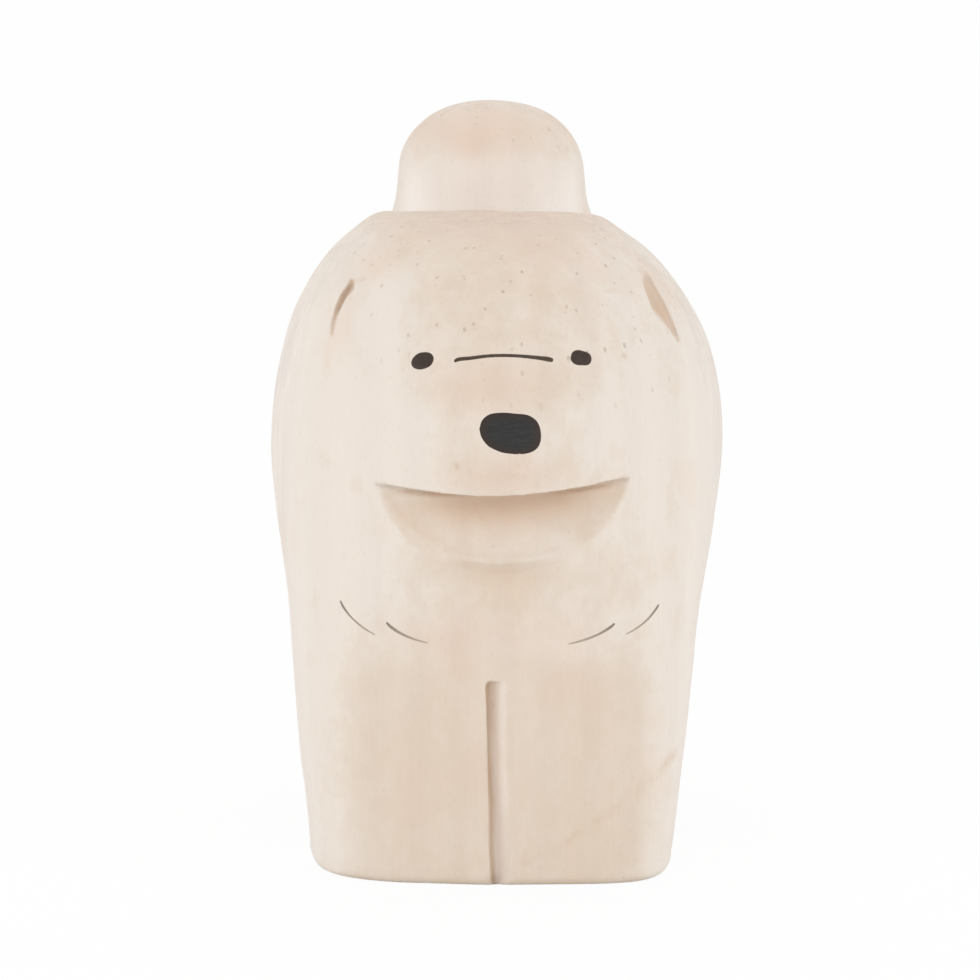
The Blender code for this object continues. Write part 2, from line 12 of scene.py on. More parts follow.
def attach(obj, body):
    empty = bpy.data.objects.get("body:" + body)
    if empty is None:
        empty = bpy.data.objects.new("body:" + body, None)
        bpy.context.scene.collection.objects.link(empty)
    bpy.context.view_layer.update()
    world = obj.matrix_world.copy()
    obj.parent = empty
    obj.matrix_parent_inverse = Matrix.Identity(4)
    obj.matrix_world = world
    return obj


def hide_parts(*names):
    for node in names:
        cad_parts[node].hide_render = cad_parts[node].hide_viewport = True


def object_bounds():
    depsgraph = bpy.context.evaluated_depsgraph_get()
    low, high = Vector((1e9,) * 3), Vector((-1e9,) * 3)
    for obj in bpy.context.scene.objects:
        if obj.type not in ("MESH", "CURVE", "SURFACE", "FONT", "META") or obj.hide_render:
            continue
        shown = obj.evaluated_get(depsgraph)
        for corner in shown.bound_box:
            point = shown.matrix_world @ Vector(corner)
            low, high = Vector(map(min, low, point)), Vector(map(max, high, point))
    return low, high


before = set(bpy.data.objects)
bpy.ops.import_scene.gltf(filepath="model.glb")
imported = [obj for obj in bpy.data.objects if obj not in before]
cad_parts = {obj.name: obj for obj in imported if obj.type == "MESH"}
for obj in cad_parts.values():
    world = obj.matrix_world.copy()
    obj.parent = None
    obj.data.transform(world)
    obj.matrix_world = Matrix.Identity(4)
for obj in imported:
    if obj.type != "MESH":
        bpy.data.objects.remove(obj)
cad_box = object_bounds()

MM = 0.001
VOXEL = 0.22 * MM
BODY_TRIANGLES = 196000
SEAM_REACH = 2 * MM

# Colours of the wood and of what is laid on it
CREAM, TAN, BLUSH = (0.835, 0.762, 0.690), (0.765, 0.645, 0.536), (0.785, 0.610, 0.505)
TAIL_CREAM, TAIL_TAN = (0.835, 0.760, 0.688), (0.765, 0.640, 0.520)
PEG_CREAM, PEG_TAN, PEG_BLUSH = (0.66, 0.51, 0.35), (0.56, 0.41, 0.26), (0.60, 0.42, 0.28)
# Painted light: a near-white mixed onto the flanks, the lit wall of the leg groove and the tail's foot
HIGHLIGHT_WHITE = (0.93, 0.885, 0.85)
DASH = (0.50, 0.36, 0.25)
PORE = (0.44, 0.31, 0.22)
# Painted shade: warm tan, deep tan and dark brown laid into the mouth, the ears, the leg grooves and the
# creases, and under the chin
PEACH_SHADE = (0.74, 0.555, 0.405)
HOLLOW_SHADE = (0.60, 0.42, 0.29)
CUT_SHADE = (0.33, 0.215, 0.14)
FLECK = (0.62, 0.41, 0.25)
# Lighter along proud edges as rubbed wear, and a painted highlight along the leg groove's rim
RUBBED_AND_HIGHLIT = (0.87, 0.80, 0.71)
NOSE_BLACK, NOSE_RIM = (0.029, 0.031, 0.030), (0.048, 0.031, 0.027)
EYE_BLACK, EYE_RIM = (0.046, 0.032, 0.026), (0.070, 0.047, 0.037)
PAINT_SPECK = (0.16, 0.125, 0.10)
BROW_DARK, BROW_PALE = (0.060, 0.041, 0.031), (0.19, 0.145, 0.105)
BROW_FADE = 0.12
FUR_DARK, FUR_PALE = (0.225, 0.190, 0.160), (0.48, 0.40, 0.33)

# Heights of the paint over the wood, and how far its rim sinks in
NOSE_RISE, EYE_RISE, BROW_RISE, FUR_RISE = 0.10 * MM, 0.07 * MM, 0.03 * MM, 0.02 * MM
RIM_SINK = 0.03 * MM

# Camera: a long lens, a little above the face
ELEVATION = math.radians(12.0)
DISTANCE = 0.600
FOCAL_PX = 5637.5
FRAME_PX = 980
SENSOR_MM = 36.0
TARGET = Vector((0.0, 0.0, 0.038))
TARGET_PX = (495.0, 475.5)
RIGHT = Vector((1.0, 0.0, 0.0))
AHEAD = Vector((0.0, math.cos(ELEVATION), -math.sin(ELEVATION)))
UP = Vector((0.0, math.sin(ELEVATION), math.cos(ELEVATION)))
PX = DISTANCE / FOCAL_PX
EYE = TARGET - AHEAD * DISTANCE
EYE += RIGHT * (FRAME_PX / 2 - TARGET_PX[0]) * PX + UP * (TARGET_PX[1] - FRAME_PX / 2) * PX


def to_picture(points):
    """Places of points in the picture, in its pixels from the top left corner."""
    away = points - np.array(EYE)
    depth = away @ np.array(AHEAD)
    x = FRAME_PX / 2 + FOCAL_PX * (away @ np.array(RIGHT)) / depth
    y = FRAME_PX / 2 - FOCAL_PX * (away @ np.array(UP)) / depth
    return x, y


def spot(tree, x, y):
    """The surface's point and normal that the camera sees at a place in the picture."""
    ray = AHEAD + RIGHT * ((x - FRAME_PX / 2) / FOCAL_PX) - UP * ((y - FRAME_PX / 2) / FOCAL_PX)
    point, normal, _, _ = tree.ray_cast(EYE, ray.normalized())
    return point, normal


# Meshes
def new_object(name, mesh):
    made = bpy.data.objects.new(name, mesh)
    bpy.context.scene.collection.objects.link(made)
    return made


def mesh_of(name, points, faces):
    mesh = bpy.data.meshes.new(name)
    mesh.from_pydata([tuple(p) for p in points], [], faces)
    mesh.validate()
    shape = bmesh.new()
    shape.from_mesh(mesh)
    bmesh.ops.recalc_face_normals(shape, faces=shape.faces)
    shape.to_mesh(mesh)
    shape.free()
    return mesh


def welded(node):
    """A copy of a node's mesh with its split edges joined again."""
    shape = bmesh.new()
    shape.from_mesh(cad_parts[node].data)
    bmesh.ops.remove_doubles(shape, verts=shape.verts, dist=2e-6)
    bmesh.ops.recalc_face_normals(shape, faces=shape.faces)
    mesh = bpy.data.meshes.new(node + "_solid")
    shape.to_mesh(mesh)
    shape.free()
    mesh.materials.clear()
    return mesh


def tree_of(mesh):
    corners = [v.co.copy() for v in mesh.vertices]
    return BVHTree.FromPolygons(corners, [tuple(p.vertices) for p in mesh.polygons])


def settled(work, name):
    """The plain mesh that an object's modifiers give; the object itself goes."""
    bpy.context.view_layer.update()
    done = bpy.data.meshes.new_from_object(work.evaluated_get(bpy.context.evaluated_depsgraph_get()))
    done.name = name
    bpy.data.objects.remove(work)
    return done


def remeshed(name, mesh, voxel):
    """A mesh of small even squares in place of long triangles."""
    work = new_object(name + "_work", mesh)
    step = work.modifiers.new("fine", "REMESH")
    step.mode = "VOXEL"
    step.voxel_size = voxel
    step = work.modifiers.new("even", "SMOOTH")
    step.factor = 1.0
    step.iterations = 2
    return settled(work, name)


def points_of(mesh):
    flat = np.empty(len(mesh.vertices) * 3, np.float32)
    mesh.vertices.foreach_get("co", flat)
    return flat.reshape(-1, 3).astype(float)


def normals_of(mesh):
    flat = np.empty(len(mesh.vertices) * 3, np.float32)
    mesh.vertex_normals.foreach_get("vector", flat)
    return flat.reshape(-1, 3).astype(float)


def set_points(mesh, points):
    """Moves the points, and keeps them within the box of the solids."""
    points = np.clip(points, *np.array([tuple(corner) for corner in cad_box]))
    mesh.vertices.foreach_set("co", points.astype(np.float32).ravel())
    mesh.update()


def smoothstep(t):
    t = np.clip(t, 0.0, 1.0)
    return t * t * (3 - 2 * t)


def ramp(value, start, run):
    """Rises from 0 at start to 1 a run further on, which may be a run downwards."""
    return smoothstep((value - start) / run)


def hill(value, middle, spread):
    """1 at the middle, falling away to both sides."""
    return np.exp(-(((value - middle) / spread) ** 2))


def ripple(points, size, seed, waves=14):
    """A smooth uneven field of about -1 to 1 whose bumps are about size across."""
    rng = np.random.default_rng(seed)
    ways = rng.normal(size=(waves, 3))
    ways *= (math.pi / size * rng.uniform(0.6, 1.4, waves) / np.linalg.norm(ways, axis=1))[:, None]
    phases = rng.uniform(0, 2 * math.pi, waves)
    return np.sin(points @ ways.T + phases).sum(1) / math.sqrt(waves)


def along(points, steps):
    """A smooth run of rows through the given rows, each of the same length."""
    points = np.array(points, float)
    ends = np.vstack([2 * points[0] - points[1], points, 2 * points[-1] - points[-2]])
    rows = []
    for t in np.linspace(0, len(points) - 1, steps):
        i = min(int(t), len(points) - 2)
        f = t - i
        a, b, c, d = ends[i : i + 4]
        rows.append(b + 0.5 * f * (c - a + f * (2 * a - 5 * b + 4 * c - d + f * (3 * (b - c) + d - a))))
    return np.array(rows)


def set_attribute(mesh, name, values):
    made = mesh.attributes.get(name) or mesh.attributes.new(name, "FLOAT", "POINT")
    made.data.foreach_set("value", np.asarray(values, np.float32))


def softened(mesh, reach):
    """The mesh's points after blurring its shape over about that distance."""
    work = new_object(mesh.name + "_soft", mesh)
    step = work.modifiers.new("soft", "SMOOTH")
    step.factor = 1.0
    step.iterations = max(1, round(4 * (reach / VOXEL) ** 2))
    return points_of(settled(work, "soft"))


def sunken(mesh, reach):
    """How far each point lies under the blurred surface, or over it where negative."""
    return ((softened(mesh, reach) - points_of(mesh)) * normals_of(mesh)).sum(1)


def spread_out(mesh, values, rounds):
    """Averages a value over the neighbouring points, again and again."""
    ends = np.empty(len(mesh.edges) * 2, np.int32)
    mesh.edges.foreach_get("vertices", ends)
    a, b = ends.reshape(-1, 2).T
    count = np.bincount(ends, minlength=len(values))
    for _ in range(rounds):
        near = np.bincount(a, values[b], len(values)) + np.bincount(b, values[a], len(values))
        values = 0.5 * (values + near / count)
    return values


def close_to(node, points, reach):
    """1 at points that lie on a node's surface, falling to 0 at that distance from it."""
    tree = tree_of(welded(node))
    low, high = (np.array(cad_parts[node].bound_box)[i] for i in (0, 6))
    found = np.zeros(len(points))
    for i in np.nonzero(np.all((points > low - reach) & (points < high + reach), axis=1))[0]:
        distance = tree.find_nearest(points[i], reach)[3]
        found[i] = 0.0 if distance is None else 1 - distance / reach
    return smoothstep(2 * found)


def sand(mesh, free):
    """Smooths the broad faces and leaves the cut edges crisp; free is where edges go too."""
    points = points_of(mesh)
    sharp = (np.abs(sunken(mesh, 0.55 * MM)) > 0.05 * MM).astype(float) * (1 - free)
    crisp = smoothstep(4 * spread_out(mesh, sharp, 24))
    set_points(mesh, points + (softened(mesh, 0.95 * MM) - points) * (1 - crisp)[:, None])


def relief(mesh):
    """Where the wood is cut in, and where it stands proud, each from 0 to 1."""
    close = sunken(mesh, 0.40 * MM)
    cut = np.clip((close - 0.03 * MM) / (0.14 * MM), 0, 1)
    return cut, np.clip((-close - 0.02 * MM) / (0.12 * MM), 0, 1)


def thinned(mesh, most):
    """The same mesh with at most that many triangles."""
    mesh.calc_loop_triangles()
    work = new_object(mesh.name + "_work", mesh)
    step = work.modifiers.new("thin", "DECIMATE")
    step.ratio = min(1.0, most / len(mesh.loop_triangles))
    return settled(work, mesh.name)


# Materials
class Nodes:
    """A material's node tree, with short ways to add and join nodes."""

    def __init__(self, name):
        self.material = bpy.data.materials.new(name)
        self.material.use_nodes = True
        self.tree = self.material.node_tree
        self.shader = self.tree.nodes["Principled BSDF"]

    def add(self, kind, **settings):
        node = self.tree.nodes.new("ShaderNode" + kind)
        for name, value in settings.items():
            setattr(node, name, value)
        return node

    def put(self, socket, value):
        if isinstance(value, bpy.types.NodeSocket):
            self.tree.links.new(value, socket)
        elif isinstance(value, (tuple, list)) and socket.type == "RGBA":
            socket.default_value = (*value[:3], 1.0)
        else:
            socket.default_value = value

    def math(self, operation, a, b=0.0, clamp=False):
        node = self.add("Math", operation=operation, use_clamp=clamp)
        self.put(node.inputs[0], a)
        self.put(node.inputs[1], b)
        return node.outputs[0]

    def span(self, value, low, high, to_low=0.0, to_high=1.0):
        node = self.add("MapRange", interpolation_type="SMOOTHSTEP")
        for socket, setting in zip(node.inputs[:5], (value, low, high, to_low, to_high)):
            self.put(socket, setting)
        return node.outputs[0]

    def mix(self, amount, a, b, blend="MIX"):
        node = self.add("Mix", data_type="RGBA", blend_type=blend)
        self.put(node.inputs["Factor"], amount)
        self.put(node.inputs[6], a)
        self.put(node.inputs[7], b)
        return node.outputs[2]

    def place(self, scale, shift=(0.0, 0.0, 0.0)):
        """Object coordinates times scale, given as cycles per millimetre."""
        coordinates = self.add("TexCoord").outputs["Object"]
        node = self.add("Mapping")
        self.put(node.inputs["Vector"], coordinates)
        node.inputs["Scale"].default_value = [s * 1000 for s in scale]
        node.inputs["Location"].default_value = shift
        return node.outputs[0]

    def noise(self, scale, detail=2.0, rough=0.5, twist=0.0, shift=(0.0, 0.0, 0.0)):
        node = self.add("TexNoise")
        self.put(node.inputs["Vector"], self.place(scale, shift))
        node.inputs["Scale"].default_value = 1.0
        node.inputs["Detail"].default_value = detail
        node.inputs["Roughness"].default_value = rough
        node.inputs["Distortion"].default_value = twist
        return node.outputs["Fac"]

    def cells(self, scale, shift=(0.0, 0.0, 0.0), wobble=0.0):
        """Distance to the nearest cell's middle, and a random number for that cell."""
        node = self.add("TexVoronoi", feature="F1")
        place = self.place(scale, shift)
        if wobble:
            bend = self.add("TexNoise")
            self.put(bend.inputs["Vector"], place)
            bend.inputs["Scale"].default_value = 2.3
            push = self.add("VectorMath", operation="MULTIPLY_ADD")
            self.put(push.inputs[0], bend.outputs["Color"])
            push.inputs[1].default_value = (wobble, wobble, wobble)
            self.put(push.inputs[2], place)
            place = push.outputs[0]
        self.put(node.inputs["Vector"], place)
        node.inputs["Scale"].default_value = 1.0
        pick = self.add("SeparateColor")
        self.put(pick.inputs[0], node.outputs["Color"])
        return node.outputs["Distance"], pick.outputs[0]

    def attribute(self, name):
        return self.add("Attribute", attribute_name=name).outputs["Fac"]

    def bump(self, height, distance, strength=1.0):
        node = self.add("Bump")
        node.inputs["Strength"].default_value = strength
        node.inputs["Distance"].default_value = distance
        self.put(node.inputs["Height"], height)
        self.put(self.shader.inputs["Normal"], node.outputs[0])


def wood(name, shift, cream, tan, blush):
    """Pale sanded wood with upright grain: dots of pores on the tops, faint lines and dashes on the sides."""
    n = Nodes(name)
    clouds = n.noise((0.085, 0.085, 0.06), 3.0, 0.55, 0.4, shift)
    mottle = n.noise((0.55, 0.55, 0.40), 3.0, 0.6, 0.3, (shift[1], shift[0], 2.0))
    pale = n.math("ADD", n.span(clouds, 0.30, 0.70, -0.30, 0.30), n.span(mottle, 0.30, 0.70, -0.22, 0.22))
    pale = n.math("MULTIPLY", pale, n.math("SUBTRACT", 1.0, n.attribute("calm")))
    # Besides its tone patches, the pale attribute carries painted light and painted shade: lighter flanks and
    # tail foot, a darker crown, shins and middle of the face
    pale = n.math("ADD", n.math("ADD", pale, 0.5), n.attribute("pale"), True)
    colour = n.mix(pale, tan, cream)
    flush = n.noise((0.10, 0.10, 0.08), 2.0, 0.5, 0.3, (7.1 + shift[0], 3.3, 1.7))
    flush = n.span(flush, 0.52, 0.72, 0.0, 0.35)
    # The blush attribute also carries painted shade, rosier along the crown's top edge and at the tail's top
    rosy = n.math("MULTIPLY", n.attribute("blush"), n.span(mottle, 0.3, 0.7, 0.6, 1.0))
    colour = n.mix(n.math("ADD", flush, rosy, True), colour, blush)
    # Painted light: whiter on the flanks, the groove's lit wall and the tail's foot
    colour = n.mix(n.attribute("painted_light"), colour, HIGHLIGHT_WHITE)
    rings = n.add("TexWave", wave_type="RINGS", rings_direction="Z")
    n.put(rings.inputs["Vector"], n.place((0.07, 0.07, 0.004), (3.4 + shift[0], 2.1, 0.0)))
    for setting, value in (("Scale", 1.0), ("Distortion", 3.0), ("Detail", 2.0), ("Detail Scale", 0.8)):
        rings.inputs[setting].default_value = value
    streaks = n.noise((3.2, 3.2, 0.16), 3.0, 0.6, 0.0, (shift[1], 4.0, 0.3))
    bands = n.noise((0.42, 0.42, 0.016), 3.0, 0.6, 0.6, (2.7, shift[0], shift[1]))
    lines = n.noise((1.5, 1.5, 0.035), 4.0, 0.65, 0.4, (shift[0], 6.1, 1.9))
    bands = n.math("ADD", n.span(bands, 0.30, 0.70, -0.045, 0.025), n.span(lines, 0.35, 0.65, -0.050, 0.025))
    bands = n.math("MULTIPLY", bands, n.attribute("grain"))
    shade = n.span(rings.outputs["Fac"], 0.0, 1.0, 0.988, 1.006)
    shade = n.math("ADD", shade, n.span(streaks, 0.25, 0.75, -0.010, 0.010))
    shade = n.math("ADD", shade, bands)
    grey = n.add("CombineColor")
    for socket in grey.inputs[:3]:
        n.put(socket, shade)
    colour = n.mix(1.0, colour, grey.outputs[0], "MULTIPLY")

    slope = n.add("SeparateXYZ")
    n.put(slope.inputs[0], n.add("NewGeometry").outputs["Normal"])
    end_grain = n.span(n.math("ABSOLUTE", slope.outputs[2]), 0.15, 0.85, 0.10, 0.75)
    far, luck = n.cells((1.05, 1.05, 0.58), (shift[0], shift[1], 0.0), 0.25)
    width = n.span(luck, 0.25, 1.0, 0.03, 0.22)
    pores = n.math("MULTIPLY", n.span(n.math("SUBTRACT", width, far), -0.05, 0.08), n.span(luck, 0.25, 0.35))
    pores = n.math("MULTIPLY", pores, n.math("ADD", end_grain, n.attribute("speck"), True))
    fine_far, fine_luck = n.cells((2.3, 2.3, 0.9), (shift[1], 3.7, shift[0]), 0.2)
    fine = n.math("MULTIPLY", n.span(fine_far, 0.26, 0.10), n.span(fine_luck, 0.5, 0.75))
    colour = n.mix(n.math("MULTIPLY", fine, 0.10), colour, DASH)
    colour = n.mix(n.math("MULTIPLY", pores, n.span(luck, 0.5, 1.0, 0.22, 0.50)), colour, PORE)

    # Painted shade in the cuts, hollows and creases, then brown flecks, then rubbed edges with a painted
    # highlight on the groove's rim
    colour = n.mix(n.attribute("peach_shade"), colour, PEACH_SHADE)
    colour = n.mix(n.attribute("depth"), colour, HOLLOW_SHADE)
    colour = n.mix(n.math("MULTIPLY", n.attribute("cut"), 0.65), colour, CUT_SHADE)
    flecked = n.math("MULTIPLY", n.attribute("fleck"), n.span(mottle, 0.3, 0.6, 0.35, 1.0))
    colour = n.mix(flecked, colour, FLECK)
    rubbed_and_highlit = n.math("MULTIPLY", n.attribute("edge"), n.span(mottle, 0.3, 0.7, 0.10, 0.34))
    colour = n.mix(rubbed_and_highlit, colour, RUBBED_AND_HIGHLIT)
    n.put(n.shader.inputs["Base Color"], colour)

    fuzz = n.noise((6.5, 6.5, 2.4), 3.0, 0.7, 0.0, shift)
    n.put(n.shader.inputs["Roughness"], n.span(fuzz, 0.2, 0.8, 0.60, 0.78))
    n.shader.inputs["Specular IOR Level"].default_value = 0.35
    n.shader.inputs["Sheen Weight"].default_value = 0.12
    n.shader.inputs["Sheen Roughness"].default_value = 0.5
    height = n.math("ADD", n.math("MULTIPLY", streaks, 0.5), n.math("MULTIPLY", fuzz, 0.45))
    height = n.math("SUBTRACT", height, n.math("ADD", pores, n.math("MULTIPLY", fine, 0.35)))
    n.bump(height, 0.06 * MM, 0.45)
    return n


def brushed(name, dark, edge_colour, roughness):
    """Matt paint laid on by brush, a little thinner and browner at its rim."""
    n = Nodes(name)
    streak = n.noise((0.7, 1.2, 3.4), 3.0, 0.6, 0.3)
    speck = n.noise((5.5, 5.5, 5.5), 2.0, 0.6)
    colour = n.mix(n.span(streak, 0.35, 0.75), dark, tuple(1.4 * c for c in dark))
    rim = n.span(n.attribute("rim"), 0.55, 1.0)
    colour = n.mix(rim, colour, edge_colour)
    colour = n.mix(n.math("MULTIPLY", n.span(speck, 0.62, 0.76), 0.25), colour, PAINT_SPECK)
    n.put(n.shader.inputs["Base Color"], colour)
    n.put(n.shader.inputs["Roughness"], n.span(streak, 0.2, 0.8, roughness - 0.06, roughness + 0.08))
    n.shader.inputs["Specular IOR Level"].default_value = 0.22
    n.bump(n.math("ADD", n.math("MULTIPLY", streak, 0.6), n.math("MULTIPLY", speck, 0.4)), 0.05 * MM, 0.4)
    return n


def inked(name, dark, pale):
    """A thin drawn line that sinks into the wood and fades along its length."""
    n = Nodes(name)
    broken = n.noise((4.5, 4.5, 4.5), 3.0, 0.7)
    fade = n.math("ADD", n.attribute("run"), n.span(broken, 0.3, 0.7, -0.22, 0.22))
    rim = n.math("MULTIPLY", n.attribute("rim"), 0.35)
    n.put(n.shader.inputs["Base Color"], n.mix(n.math("ADD", fade, rim, True), dark, pale))
    n.put(n.shader.inputs["Roughness"], n.span(broken, 0.2, 0.8, 0.55, 0.72))
    n.shader.inputs["Specular IOR Level"].default_value = 0.22
    n.bump(broken, 0.03 * MM, 0.4)
    return n


def wear(piece, nodes, slot, *replaced):
    piece.data.materials.clear()
    piece.data.materials.append(nodes.material)
    piece.data.shade_smooth()
    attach(piece, "root")
    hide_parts(*replaced)


# Paint lies on the finished wood: a low swelling inside, and its rim sunk just under the surface.
def laid(tree, place, rise, rim):
    point, normal = spot(tree, *place)
    return point + normal * (rise * (1 - rim**4) - RIM_SINK * rim**8)


def dab(name, tree, outline, rise, rings=9):
    """A spot of paint of a star-shaped outline, in picture pixels."""
    outline = np.array(outline)
    middle = outline.mean(0)
    points = [laid(tree, middle, rise, 0.0)]
    rims = [0.0]
    count = len(outline)
    for ring in range(1, rings + 1):
        share = (ring / rings) ** 0.8
        for corner in outline:
            points.append(laid(tree, middle + (corner - middle) * share, rise, share))
            rims.append(share)
    faces = [(0, 1 + i, 1 + (i + 1) % count) for i in range(count)]
    for ring in range(rings - 1):
        low = 1 + ring * count
        for i in range(count):
            j = (i + 1) % count
            faces.append((low + i, low + count + i, low + count + j, low + j))
    mesh = mesh_of(name, points, faces)
    set_attribute(mesh, "rim", rims)
    return new_object(name, mesh)


def line(name, tree, rows, rise, steps, across=7):
    """A drawn line that follows rows of picture x, picture y and width, with rounded ends."""
    rows = along(rows, steps)
    way = np.gradient(rows[:, :2], axis=0)
    side = np.stack([-way[:, 1], way[:, 0]], 1) / np.linalg.norm(way, axis=1)[:, None]
    points, rims, runs = [], [], []
    for i in range(steps):
        run = i / (steps - 1)
        end = 1 - abs(2 * run - 1) ** (steps / 3)
        for j in range(across):
            rim = 2 * j / (across - 1) - 1
            place = rows[i, :2] + side[i] * rim * rows[i, 2] / 2 * math.sqrt(max(end, 0.0))
            edge = max(abs(rim), 1 - end)
            points.append(laid(tree, place, rise, edge))
            rims.append(edge)
            runs.append(run)
    faces = []
    for i in range(steps - 1):
        for j in range(across - 1):
            a = i * across + j
            faces.append((a, a + 1, a + across + 1, a + across))
    mesh = mesh_of(name, points, faces)
    set_attribute(mesh, "rim", rims)
    set_attribute(mesh, "run", runs)
    return new_object(name, mesh)


def rounded(middle, width, height, power, tilt, uneven, seed, count=56):
    """A hand-drawn rounded spot in picture pixels; uneven is the wobble of its outline in pixels."""
    rng = np.random.default_rng(seed)
    turn = np.arange(count) * 2 * math.pi / count
    x = width / 2 * np.sign(np.cos(turn)) * np.abs(np.cos(turn)) ** (2 / power)
    y = height / 2 * np.sign(np.sin(turn)) * np.abs(np.sin(turn)) ** (2 / power)
    wobble = sum(rng.normal() * np.sin(k * turn + rng.uniform(0, 6.3)) / k for k in (2, 3, 4, 5, 7))
    grow = 1 + uneven * wobble / np.hypot(x, y)
    c, s = math.cos(math.radians(tilt)), math.sin(math.radians(tilt))
    x, y = x * grow, y * grow
    return np.stack([middle[0] + c * x + s * y, middle[1] - s * x + c * y], 1)


# The body. Tones are set by places in the picture, in pixels, and kept on the mesh's points.
def lobe(px, py, x, y, wide, high):
    """A soft round patch about a place in the picture."""
    return hill(px, x, wide) * hill(py, y, high)


def patches(px, py, rows):
    """The sum of soft round patches: x, y, half width, half height and strength of each."""
    return sum(strength * lobe(px, py, *place) for *place, strength in rows)


def follow(places, rows):
    """What a line of pairs has as its second number where its first is the place."""
    return np.interp(places, *np.array(rows, float).T)


def near_path(px, py, path):
    """Distance in pixels from each place to a line of points in the picture."""
    path = along(path, 40)
    return np.min([np.hypot(px - x, py - y) for x, y in path], 0)


def in_leaf(px, py, hollow, rows):
    """1 in a leaf, and in a hollow close to it; its rows are x, y and half width in pixels."""
    rows = along(rows, 40)
    inside = np.max([half - np.hypot(px - x, py - y) for x, y, half in rows], 0)
    return np.maximum(smoothstep(inside / 2.5 + 0.5), smoothstep(4 * hollow) * ramp(inside, -12, 3))


# How far the surface goes in or out of the solid's, in millimetres
CHIN_HOLLOW, LEG_FLAT = 0.65, 0.12
LEFT_TEMPLE_FLAT, LEFT_FOOT_FLAT, RIGHT_LEG_FLAT = 0.42, 0.36, 0.22
CROWN_SHOULDERS = ((382, 216, 17, 16, 0.34), (604, 214, 17, 15, 0.24))
BROAD_WAVE, FINE_WAVE = 0.05, 0.03

# Patches of tone; the tan ones are painted shade on the forehead, the muzzle, under the nose and under the
# chin
PALE_PATCHES = (
    (400, 440, 60, 50, 1.0), (625, 430, 50, 50, 0.6), (365, 560, 60, 55, 1.0),
    (392, 288, 22, 18, 0.8), (625, 285, 28, 26, 0.8),
)
TAN_SHADE_PATCHES = (
    (490, 262, 120, 45, 1.0), (500, 600, 60, 34, 1.0), (565, 455, 22, 22, 0.8),
    (495, 392, 70, 26, 1.0), (500, 476, 70, 20, 0.9),
)
ROSY_PATCHES = (
    (490, 388, 60, 24, 1.0), (372, 262, 30, 20, 0.7), (500, 640, 90, 30, 0.6), (502, 478, 52, 16, 1.1),
)
SPECKLED_PATCHES = ((470, 310, 75, 42, 1.0), (590, 310, 60, 75, 1.0), (640, 370, 40, 40, 0.6))
BROWN_FLECKS = ((456.5, 466, 2.2, 3.2, 0.9), (610, 291, 6, 2, 0.35), (623.7, 356, 2, 2, 0.9))

# Lines that the tones follow
LIP = (
    (376, 483), (393, 487), (412, 490), (451, 495), (496, 497),
    (542, 495), (584, 488), (604, 484), (630, 477),
)
CHIN = (
    (378, 484), (386, 500), (398, 517), (415, 533), (437, 548),
    (462, 558), (500, 562), (545, 558), (575, 547), (597, 530),
)
LEG_LINE = ((680, 490.0), (750, 489.8), (800, 492.2), (850, 492.0), (880, 494.0))
LEFT_EAR = (
    (351, 280, 1.5), (350, 287, 3.4), (343, 296, 2.8), (337.5, 307, 2.2), (332.5, 320, 1.8), (330, 333, 1.0),
)
RIGHT_EAR = (
    (645.5, 272, 1.5), (648, 282, 4.5), (654.5, 297, 6.3), (660, 308, 6.5),
    (668, 321, 4.5), (674, 331, 2.6), (679, 342, 1),
)
RIGHT_EAR_EDGE = ((648, 276), (656.5, 288), (664.5, 302), (671.5, 317), (677.5, 334))
LEFT_EAR_HOOK = ((352, 281), (357, 280), (363, 279))
VEIN = ((524, 864), (566, 843), (606, 815), (648, 786), (677, 752))

body_mesh = remeshed("body", welded("body"), VOXEL)
points = points_of(body_mesh)
crown = ramp(points[:, 2], 60 * MM, 2 * MM) * ramp(points[:, 1], 5 * MM, -MM)
sand(body_mesh, np.maximum(crown, close_to("tail", points, SEAM_REACH)))

# Slight forms and the unevenness of hand carving
points = points_of(body_mesh)
normals = normals_of(body_mesh)
px, py = to_picture(points)
front = ramp(-points[:, 1], 8 * MM, 8 * MM)
facing = front * ramp(-normals[:, 1], 0.1, 0.4)
seen = ramp(points[:, 1], 7 * MM, -3 * MM)
chin = 563 - 44 * ((px - 503) / 100) ** 2
under = ramp(py, chin - 2, 16) * hill(py, chin + 14, 30) * hill(px, 505, 72)
crease = 662 + 26 * ((px - 500) / 150) ** 2
legs = ramp(py, crease, 22) * ramp(np.abs(px - 497), 185, -45)
inward = (CHIN_HOLLOW * under + LEG_FLAT * legs) * facing
leftward, rightward = (ramp(way * normals[:, 0], 0.4, 0.5) for way in (-1, 1))
inward += LEFT_TEMPLE_FLAT * hill(points[:, 2], 53 * MM, 7 * MM) * leftward
inward += LEFT_FOOT_FLAT * hill(points[:, 2], 5 * MM, 4 * MM) * leftward * front
inward += RIGHT_LEG_FLAT * hill(points[:, 2], 22 * MM, 12 * MM) * rightward * front
outward = patches(px, py, CROWN_SHOULDERS) * seen
uneven = BROAD_WAVE * ripple(points, 9 * MM, 11) + FINE_WAVE * ripple(points, 3.2 * MM, 12)
uneven *= smoothstep(points[:, 2] / (1.5 * MM))
set_points(body_mesh, points + normals * ((uneven + outward - inward) * MM)[:, None])
cut, proud = relief(body_mesh)
sunk = np.clip(sunken(body_mesh, 1.3 * MM) / (0.20 * MM), 0, 1)

